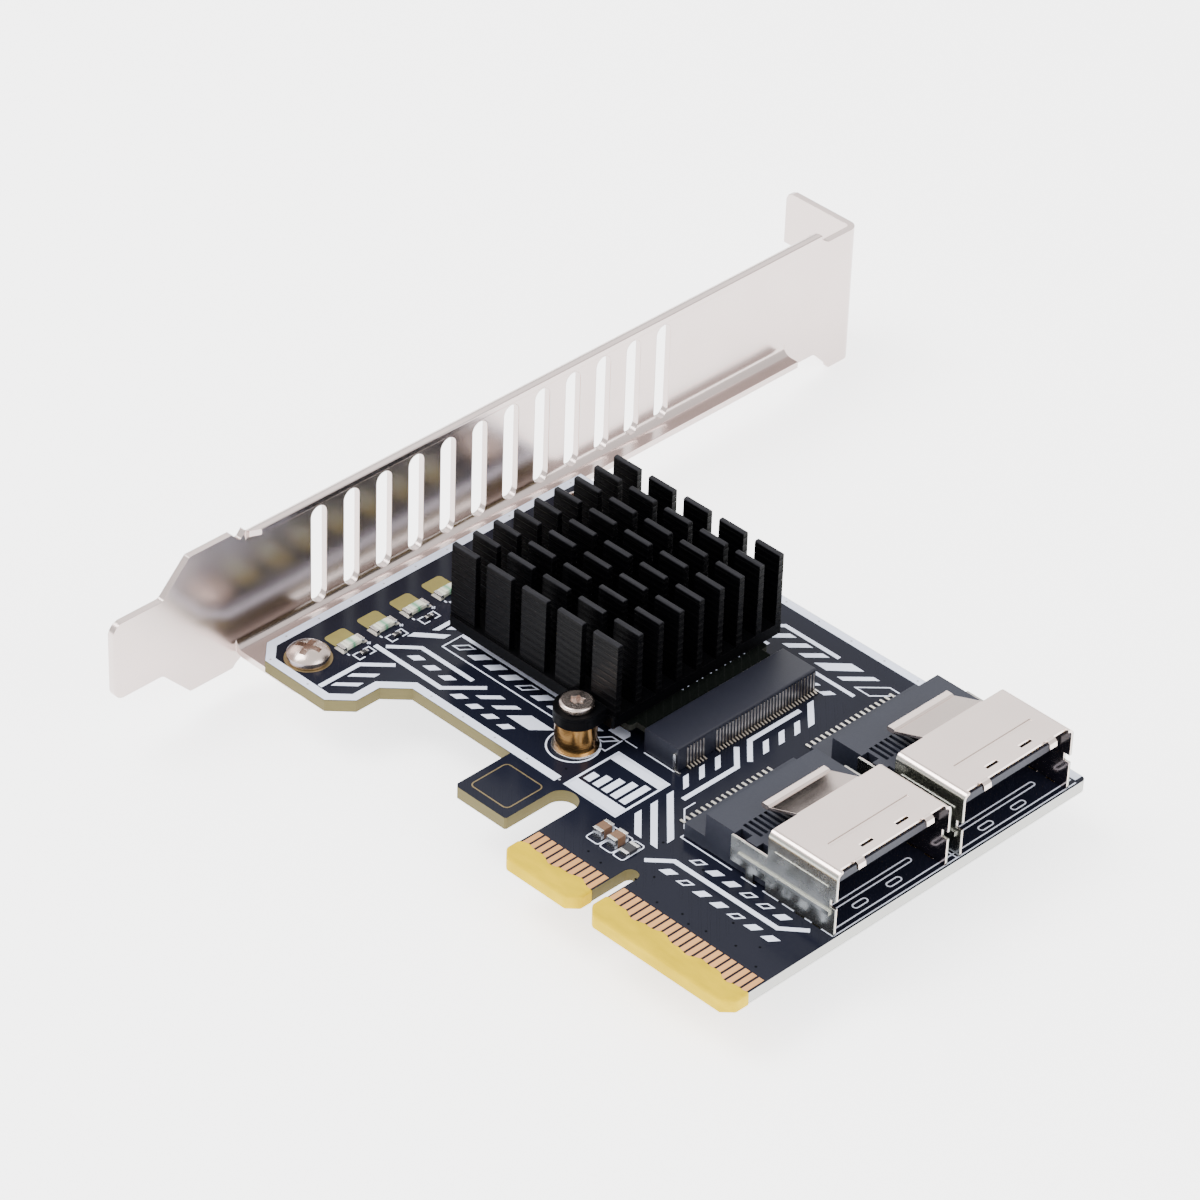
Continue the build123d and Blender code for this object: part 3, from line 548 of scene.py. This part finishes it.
def wrap_film(name, node, seed, material):
    """Film drawn over one run of finger tips, open where the board goes in."""
    low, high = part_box(node)
    x0, x1 = low.x / MM - ORIGIN_X, high.x / MM - ORIGIN_X
    tip = low.y / MM - ORIGIN_Y
    count = int((x1 - x0) / FILM_STEP)
    between = [x0 + (x1 - x0) * i / count for i in range(1, count)]
    plan = [(x1, film_wave(x1, seed)), (x1, tip + FILM_CHAMFER), (x1 - FILM_CHAMFER, tip),
            (x0 + FILM_CHAMFER, tip), (x0, tip + FILM_CHAMFER), (x0, film_wave(x0, seed))]
    last = len(plan) - 1
    plan += [(x, film_wave(x, seed)) for x in between]
    bm = bmesh.new()
    face = bm.faces.new([bm.verts.new(spot(x, y, high.z / MM)) for x, y in plan])
    inner = [bm.edges.get((face.verts[last + i], face.verts[(last + 1 + i) % len(plan)]))
             for i in range(count)]
    made = bmesh.ops.extrude_face_region(bm, geom=[face])["geom"]
    bmesh.ops.translate(bm, verts=[g for g in made if isinstance(g, bmesh.types.BMVert)],
                        vec=Vector((0, 0, low.z - high.z)))
    mouth = [f for e in inner for f in e.link_faces if abs(f.normal.z) < 0.5 and len(f.verts) == 4]
    bmesh.ops.delete(bm, geom=list(set(mouth)), context="FACES_ONLY")
    bmesh.ops.recalc_face_normals(bm, faces=bm.faces)
    folds = [e for e in bm.edges if len(e.link_faces) == 2]
    bmesh.ops.bevel(bm, geom=folds, offset=FILM_ROUND * MM, offset_type="OFFSET", segments=3, profile=0.5,
                    affect="EDGES", material=-1)
    bmesh.ops.solidify(bm, geom=bm.faces[:], thickness=FILM_T * MM)
    piece = settle(bm, name, material)
    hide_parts(node)


def print_border(s):
    """Broad line round the bracket side of the board."""
    s.stroke([(33.0, BORDER_FAR), (BORDER_LEFT, BORDER_FAR), (BORDER_LEFT, 1.41), (-43.01, BORDER_FOOT),
              (-33.65, BORDER_FOOT), (-31.46, 1.56), (-31.46, 5.05), (-28.5, BORDER_SHOULDER),
              (-5.65, BORDER_SHOULDER)], BORDER_W)


def print_foot(s, w):
    """Strokes on the foot beside the bracket screw."""
    s.stroke([(-35.6, 0.1), (-35.6, 6.1), (-32.75, 9.0)], w)
    for drop in (0.0, 2.5):
        s.patch([(-34.85, 3.6 - drop), (-32.7, 5.75 - drop), (-32.7, 6.6 - drop), (-34.85, 4.4 - drop)])
    s.patch([(-35.85, 13.7), (-32.7, 16.5), (-32.7, 17.5), (-35.85, 14.75)])
    s.patch([(-34.8, 16.6), (-34.2, 17.1), (-34.2, 19.55), (-34.8, 19.55)])
    s.patch([(-33.8, 17.8), (-32.7, 18.9), (-32.7, 19.55), (-33.15, 19.55), (-33.8, 18.75)])


def print_middle(s, w):
    """Strokes between the foot and the posts, and the rows beside the module."""
    s.stroke([(-37.05, 9.85), (-26.25, 9.85), (-22.75, 13.65)], w)
    s.stroke([(-36.05, 10.6), (-33.15, 13.4), (-24.8, 13.4)], w - 0.04)
    s.row(-33.15, 11.15, 12.2, 1.15, 2.53, 3)
    s.row(-24.7, 9.75, 10.8, 1.1, 2.5, 4)
    s.row(-22.6, 11.75, 13.75, 0.85, 2.55, 2, lean=0.95)
    s.slash(-17.6, 11.75, 13.75, 3.55, 0.95)
    s.row(-31.2, 16.2, 17.75, 1.25, 2.55, 10, hollow=(0, 4, 9))
    s.stroke([(-31.75, 21.0), (-31.75, 15.3), (-5.68, 15.3), (-5.68, 18.0)], 0.17)
    s.patch([(-31.6, 18.15), (-16.4, 18.15), (-16.4, 18.72), (-30.3, 18.72), (-31.25, 19.6), (-31.6, 19.6)])
    s.patch([(-8.1, 18.2), (-5.65, 18.2), (-5.65, 19.25), (-6.1, 19.7), (-8.1, 19.7)])
    s.stroke([(-5.5, 18.26), (-3.65, 18.26)], HAIRLINE)
    s.stroke([(-2.55, 18.26), (2.15, 18.26)], HAIRLINE)


def print_inner_column(s, w):
    """Strokes between the module socket and the receptacles."""
    s.stroke([(6.2, 15.5), (6.2, 23.95), (3.65, 26.5)], w)
    s.stroke([(3.8, 36.5), (3.8, 28.45), (6.5, 25.7)], w)
    for top in (19.2, 21.7, 24.2):
        s.falling(3.4, 5.0, top, 0.85)
    for top in (30.2, 32.7, 35.2):
        s.falling(5.0, 6.6, top, 0.9)
    s.falling(3.5, 6.6, 39.0, 1.0)
    s.falling(4.4, 10.4, 15.85, 1.05)
    s.patch([(4.4, 13.4), (4.4, 12.3), (9.3, 7.35), (10.35, 7.35)])
    s.patch([(4.4, 10.9), (4.4, 9.85), (6.85, 7.35), (7.9, 7.35)])
    s.stroke([(7.5, 16.1), (7.5, 14.4), (9.8, 12.05), (9.8, 13.0)], HAIRLINE)


def print_lower_right(s, w):
    """Strokes over the long finger run."""
    s.stroke([(10.75, 4.95), (13.1, 7.2), (28.4, 7.2), (31.0, 9.45)], w)
    s.row(14.0, 8.4, 9.45, 1.2, 2.5, 6, hollow=(0, 3, 4), lean=0.75)
    s.row(12.95, 4.9, 5.95, 1.2, 2.52, 7, hollow=(1, 4), lean=0.75)


def print_far_edge(s, w):
    """Strokes along the far edge."""
    s.stroke([(-9.3, 45.8), (-8.3, 46.83), (0.1, 46.83)], w - 0.06)
    s.row(-8.8, 44.1, 46.1, 1.05, 2.56, 3, lean=0.95)
    s.slash(-1.25, 44.1, 47.1, 1.95, 1.0)
    s.slash(2.3, 44.1, 47.1, 0.95, 0.95)
    s.slash(4.85, 44.1, 47.1, 2.4, 0.95, hollow=True)
    s.patch([(-9.2, 42.6), (-7.2, 42.6), (-7.2, 43.1), (-9.2, 43.1)])
    s.patch([(-0.2, 42.6), (6.1, 42.6), (6.1, 43.1), (-0.2, 43.1)])
    s.slash(1.1, 41.0, 41.6, 0.6)
    s.slash(2.75, 40.5, 41.6, 0.9)


def print_ports(s):
    """Thin outlines where the receptacles stand."""
    s.stroke([(10.65, 11.9), (10.65, 10.65), (18.3, 10.65)], HAIRLINE)
    for x0, x1 in ((19.8, 22.0), (23.0, 25.3), (25.9, 27.6), (29.2, 30.2), (31.6, 33.3)):
        s.stroke([(x0, 10.55), (x1, 10.55)], HAIRLINE)
    for x in (32.55, 33.3):
        s.stroke([(x, 10.6), (x, 49.4)], HAIRLINE)
    s.stroke([(31.7, 30.05), (33.25, 30.05)], HAIRLINE)
    for shift_x, shift_y in ((0.0, 0.0), (0.2, MOUTH_STEP)):
        s.pill(29.55 + shift_x, 30.4 + shift_x, 13.3 + shift_y, 26.3 + shift_y, HAIRLINE)
        for y0 in (15.6, 20.9):
            s.pill(31.0 + shift_x, 31.9 + shift_x, y0 + shift_y, y0 + 2.25 + shift_y, HAIRLINE)


def print_lamps(s):
    """Outline and polarity marks beside each lamp."""
    line, half = 0.15, 1.2
    for y in LED_ROW:
        for y0, y1 in ((-half, -0.35), (0.35, half)):
            for x in (-37.35, -36.2):
                s.stroke([(x, y + y0), (x, y + y1)], line)
        for end in (-half, half):
            s.stroke([(-37.45, y + end), (-36.1, y + end)], line)
        s.stroke([(-38.1, y + 1.7), (-37.6, y + 1.7)], HAIRLINE)
        s.stroke([(-37.85, y + 1.45), (-37.85, y + 1.95)], HAIRLINE)
        s.stroke([(-37.95, y - 1.5), (-37.55, y - 1.5)], 0.2)


def print_small_parts(s):
    """Rounded outlines under the small ceramic parts."""
    for x0, x1 in ((3.6, 5.5), (5.7, 7.55), (7.7, 9.25)):
        s.frame_box(x0, x1, 3.1, 6.6, 0.14, 0.35)


def print_emblem(s):
    """A plain printed box with a generic pattern of bars."""
    x0, x1, y0, y1 = -4.6, 3.45, 7.8, 16.35
    line, bars, foot = 0.3, 5, 2.35
    s.frame_box(x0 + line / 2, x1 - line / 2, y0 + line / 2, y1 - line / 2, line)
    left, right = x0 + 0.25, x1 - 0.25
    for low, high in ((y0 + 0.25, y0 + 1.9), (y1 - 1.6, y1 - 0.25)):
        s.patch([(left, low), (right, low), (right, high), (left, high)])
    step = (x1 - x0 - 1.2) / bars
    for i in range(bars):
        left = x0 + 0.75 + i * step
        right = left + step * 0.68
        low, high = y0 + foot, y0 + foot + 1.6 + 0.62 * i
        s.patch([(left, low), (right, low), (right, high), (left, high)])


def lamp_window(y):
    """Corners of the bare window behind a lamp, round at its left end."""
    right, left, half, r = -39.85, -41.5, 1.55, 0.5
    round_end = arc(left, y + half - r, r, 90) + arc(left, y - half + r, r, 180)
    return [(right, y + half), *round_end, (right, y - half)]


class CARD_OT_board(bpy.types.Operator):
    """Finish the board: mask, bare laminate edges, gold fingers and the film on their tips"""
    bl_idname = "card.board"
    bl_label = "Board and fingers"

    def execute(self, context):
        c = looks()
        grey_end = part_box("main_board")[1].x * 1000 - 0.05
        dress(["main_board"], mask_finish("board_mask", "main_board", tuple(c.mask), tuple(c.laminate),
                                          grey_end))
        dress(["gold_fingers"], plated_finish("finger_gold", tuple(c.gold), 0.42))
        film = film_finish("finger_film", tuple(c.film))
        for run, seed in (("short", 0.4), ("long", 1.7)):
            wrap_film(f"tip_film_{run}", f"film_{run}", seed, film)
        return {"FINISHED"}


class CARD_OT_print(bpy.types.Operator):
    """Lay the white print, the pads, the bare windows and the small holes on the board"""
    bl_idname = "card.print"
    bl_label = "Board print"

    def execute(self, context):
        c = looks()
        w = c.print_width
        s = Sheet("board_print", INK_Z, INK_T)
        print_border(s)
        print_foot(s, w)
        print_middle(s, w)
        print_inner_column(s, w)
        print_lower_right(s, w)
        print_far_edge(s, w)
        print_ports(s)
        print_lamps(s)
        print_small_parts(s)
        print_emblem(s)
        for x, y in RING_PLACES:
            s.ring(x, y, 3.12, 2.92)
        s.finish(ink_finish("white_ink", tuple(c.print_ink)), "solder_mask")

        pads = Sheet("plated_pads", PAD_Z, PAD_T)
        for x, y in SCREW_PLACES:
            pads.ring(x, y, 2.8, 1.7)
        pads.frame_box(-11.4, -5.6, 0.2, 5.85, 0.17, 0.6)
        pads.finish(plated_finish("pad_gold", ink("#8F7F5E"), 0.5), "gold")

        solder = Sheet("lamp_pads", PAD_Z, PAD_T)
        x0, x1, near, far = -39.8, -38.2, 1.2, 1.85
        for y in LED_ROW:
            for side in (-1, 1):
                solder.patch([(x0, y + side * near), (x1, y + side * near), (x1, y + side * far),
                              (x0, y + side * far)][::side])
        solder.finish(plated_finish("pad_tin", ink("#DAD8D2"), 0.3), "tin")

        bare = Sheet("lamp_windows", PAD_Z, PAD_T * 0.7)
        for y in LED_ROW:
            bare.patch(lamp_window(y))
        bare.finish(window_finish("bare_window", ink("#807536")), "solder_mask")

        vias = Sheet("board_vias", INK_Z + INK_T, VIA_T)
        for i in range(10):
            vias.disc(BORDER_LEFT, 3.6 + 5.0 * i, VIA_R)
        for x0, y, step, count in ((-43.0, BORDER_FOOT, 6.2, 2), (-25.8, BORDER_SHOULDER, 5.1, 6),
                                   (-42.0, BORDER_FAR, 5.1, 15)):
            for i in range(count):
                vias.disc(x0 + step * i, y, VIA_R)
        vias.finish(ceramic_finish("via_hole", ink("#A9ABB4")), "solder_mask")

        # near-black discs of painted shade where the mask has sunk into small holes
        hollow_shade = Sheet("mask_pit_shade", PAD_Z, PAD_T / 2)
        for x, y in PIT_PLACES:
            hollow_shade.disc(x, y, PIT_R)
        hollow_shade.finish(pit_shade_finish("tented_via_shade", ink("#030406")), "solder_mask")
        return {"FINISHED"}


class CARD_OT_bracket(bpy.types.Operator):
    """Finish the rear bracket and its screws"""
    bl_idname = "card.bracket"
    bl_label = "Rear bracket"

    def execute(self, context):
        c = looks()
        dress(["bracket"], plated_finish("bracket_nickel", tuple(c.steel), 0.26, 0.2, 0.12))
        dress(["bracket_screws", "post_screws"], plated_finish("screw_nickel", ink("#CFC0B8"), 0.24, 0.9))
        return {"FINISHED"}


class CARD_OT_module(bpy.types.Operator):
    """Finish the plug-in module, its socket, the heat sink and the posts"""
    bl_idname = "card.module"
    bl_label = "Module and heat sink"

    def execute(self, context):
        c = looks()
        dress(["module_board"], mask_finish("module_mask", "module_board", ink("#111412"), ink("#2E2F2B")))
        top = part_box("module_board")[1].z / MM
        marks = Sheet("module_marks", top + INK_Z, INK_T * 0.6)
        for i in range(MARK_N):
            first = MARK_Y + i * MARK_STEP
            for along in (first, first + MARK_PAIR):
                marks.disc(MARK_X, along, MARK_R)
        marks.finish(ink_finish("module_ink", tuple(c.print_ink)), "module_mask")
        dress(["module_socket"], moulded_finish("socket_plastic", ink("#161824"), 0.42))
        dress(["socket_pins"], plated_finish("pin_gold", ink("#B9B1A6"), 0.34, 0.0, 0.02))
        dress(["socket_tabs", "post_bases"], plated_finish("tinned", ink("#D6D4D2"), 0.25))
        low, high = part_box("heat_sink")
        dress(["heat_sink"], anodised_finish("black_anodised", tuple(c.anodised), high.z * 1000,
                                             low.z * 1000 + 1.6))
        dress(["controller_chip"], moulded_finish("chip_black", ink("#202024"), 0.55))
        dress(["thermal_pad"], moulded_finish("soft_pad", ink("#8E9098"), 0.7, 0.2))
        dress(["sink_posts"], turned_finish("turned_brass", tuple(c.brass)))
        return {"FINISHED"}


class CARD_OT_ports(bpy.types.Operator):
    """Finish the two receptacles: housings, shields and contacts"""
    bl_idname = "card.ports"
    bl_label = "Receptacles"

    def execute(self, context):
        c = looks()
        dress(both("port_housing"), moulded_finish("port_plastic", tuple(c.plastic), 0.5))
        for shield in both("port_shield"):
            low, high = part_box(shield)
            walls = (low.y * 1000 + SHIELD_SIDE, high.y * 1000 - SHIELD_SIDE)
            dress([shield], plated_finish(f"{shield}_nickel", tuple(c.shield), 0.17, 0.12, 0.07, walls))
        dress(both("port_tails"), plated_finish("tail_tin", ink("#C9C6BE"), 0.28, 0.5, 0.03))
        dress(both("port_contacts"), plated_finish("contact_gold", ink("#E8C07A"), 0.25, 0.5, 0.03))
        return {"FINISHED"}


class CARD_OT_small_parts(bpy.types.Operator):
    """Finish the lamps, resistors and ceramic parts"""
    bl_idname = "card.small_parts"
    bl_label = "Small parts"

    def execute(self, context):
        solder = plated_finish("end_tin", ink("#D9D9D6"), 0.24, 0.6, 0.08)
        dress(["led_ends", "resistor_ends", "capacitor_ends"], solder)
        dress(["led_bodies"], lens_finish("lamp_resin"))
        dress(["resistor_bodies", "chip_resistor"], ceramic_finish("dark_ceramic", ink("#232327")))
        dress(["capacitor_bodies"], ceramic_finish("brown_ceramic", ink("#6A4E38")))
        return {"FINISHED"}


def soft_light(name, at, aim, size, power):
    """A rectangular lamp, with places and size in metres and power in watts."""
    data = bpy.data.lights.new(name, "AREA")
    data.shape, data.size, data.size_y = "RECTANGLE", size[0], size[1]
    data.energy = power
    lamp = bpy.data.objects.new(name, data)
    lamp.location = at
    lamp.rotation_euler = (Vector(aim) - Vector(at)).to_track_quat("-Z", "Y").to_euler()
    bpy.context.collection.objects.link(lamp)


class CARD_OT_stage(bpy.types.Operator):
    """Set the pale floor, the soft studio lights and the camera"""
    bl_idname = "card.stage"
    bl_label = "Studio"

    def execute(self, context):
        size = looks().floor_size
        floor_z = CAD_BOX[0].z - FLOOR_GAP * MM
        bm = bmesh.new()
        bmesh.ops.create_grid(bm, x_segments=1, y_segments=1, size=size / 2,
                              matrix=Matrix.Translation((0, 0, floor_z)))
        mesh = bpy.data.meshes.new("floor")
        bm.to_mesh(mesh)
        bm.free()
        floor = bpy.data.objects.new("floor", mesh)
        context.collection.objects.link(floor)
        f = Finish("floor_paper", (0.9, 0.9, 0.9), 0.9, 0.0,
                   **{"Emission Color": (1.0, 1.0, 1.0, 1.0), "Emission Strength": 2.6})
        grain = f.noise(0.02, 2.0)
        f.set(colour=f.between(grain, (0.9, 0.9, 0.9), (0.92, 0.92, 0.92)))
        mesh.materials.append(f.material)

        world = bpy.data.worlds.new("studio")
        world.use_nodes = True
        sky = world.node_tree.nodes["Background"]
        sky.inputs["Color"].default_value = (1.0, 0.985, 0.98, 1.0)
        sky.inputs["Strength"].default_value = 1.5
        context.scene.world = world
        middle = (-0.02, 0.03, 0.0)
        soft_light("key", (-0.35, -0.25, 0.75), middle, (0.5, 0.5), 9.0)
        soft_light("fill", (0.7, 0.1, 0.5), middle, (0.5, 0.5), 4.0)
        soft_light("back", (-0.75, 0.75, 0.72), middle, (1.1, 0.8), 3.0)

        data = bpy.data.cameras.new("camera")
        data.lens, data.sensor_width = CAMERA_LENS, CAMERA_SENSOR
        data.clip_start, data.clip_end = 0.01, 20.0
        camera = bpy.data.objects.new("camera", data)
        camera.location = Vector(CAMERA_AT) * MM
        camera.rotation_euler = Euler([math.radians(a) for a in CAMERA_TURN])
        context.collection.objects.link(camera)
        context.scene.camera = camera
        return {"FINISHED"}


STEPS = [CARD_OT_board, CARD_OT_print, CARD_OT_bracket, CARD_OT_module, CARD_OT_ports, CARD_OT_small_parts,
         CARD_OT_stage]


class CARD_PT_panel(bpy.types.Panel):
    """Steps that dress the card"""
    bl_idname = "CARD_PT_panel"
    bl_label = "Storage card"
    bl_space_type = "VIEW_3D"
    bl_region_type = "UI"
    bl_category = "Card"

    def draw(self, context):
        for step in STEPS:
            self.layout.operator(step.bl_idname)


CLASSES = [CardLooks, *STEPS, CARD_PT_panel]


def register():
    for made in CLASSES:
        bpy.utils.register_class(made)
    bpy.types.Scene.card_looks = bpy.props.PointerProperty(type=CardLooks)


def unregister():
    del bpy.types.Scene.card_looks
    for made in reversed(CLASSES):
        bpy.utils.unregister_class(made)


def main():
    register()
    for step in STEPS:
        group, name = step.bl_idname.split(".")
        getattr(getattr(bpy.ops, group), name)()


if __name__ == "__main__":
    main()
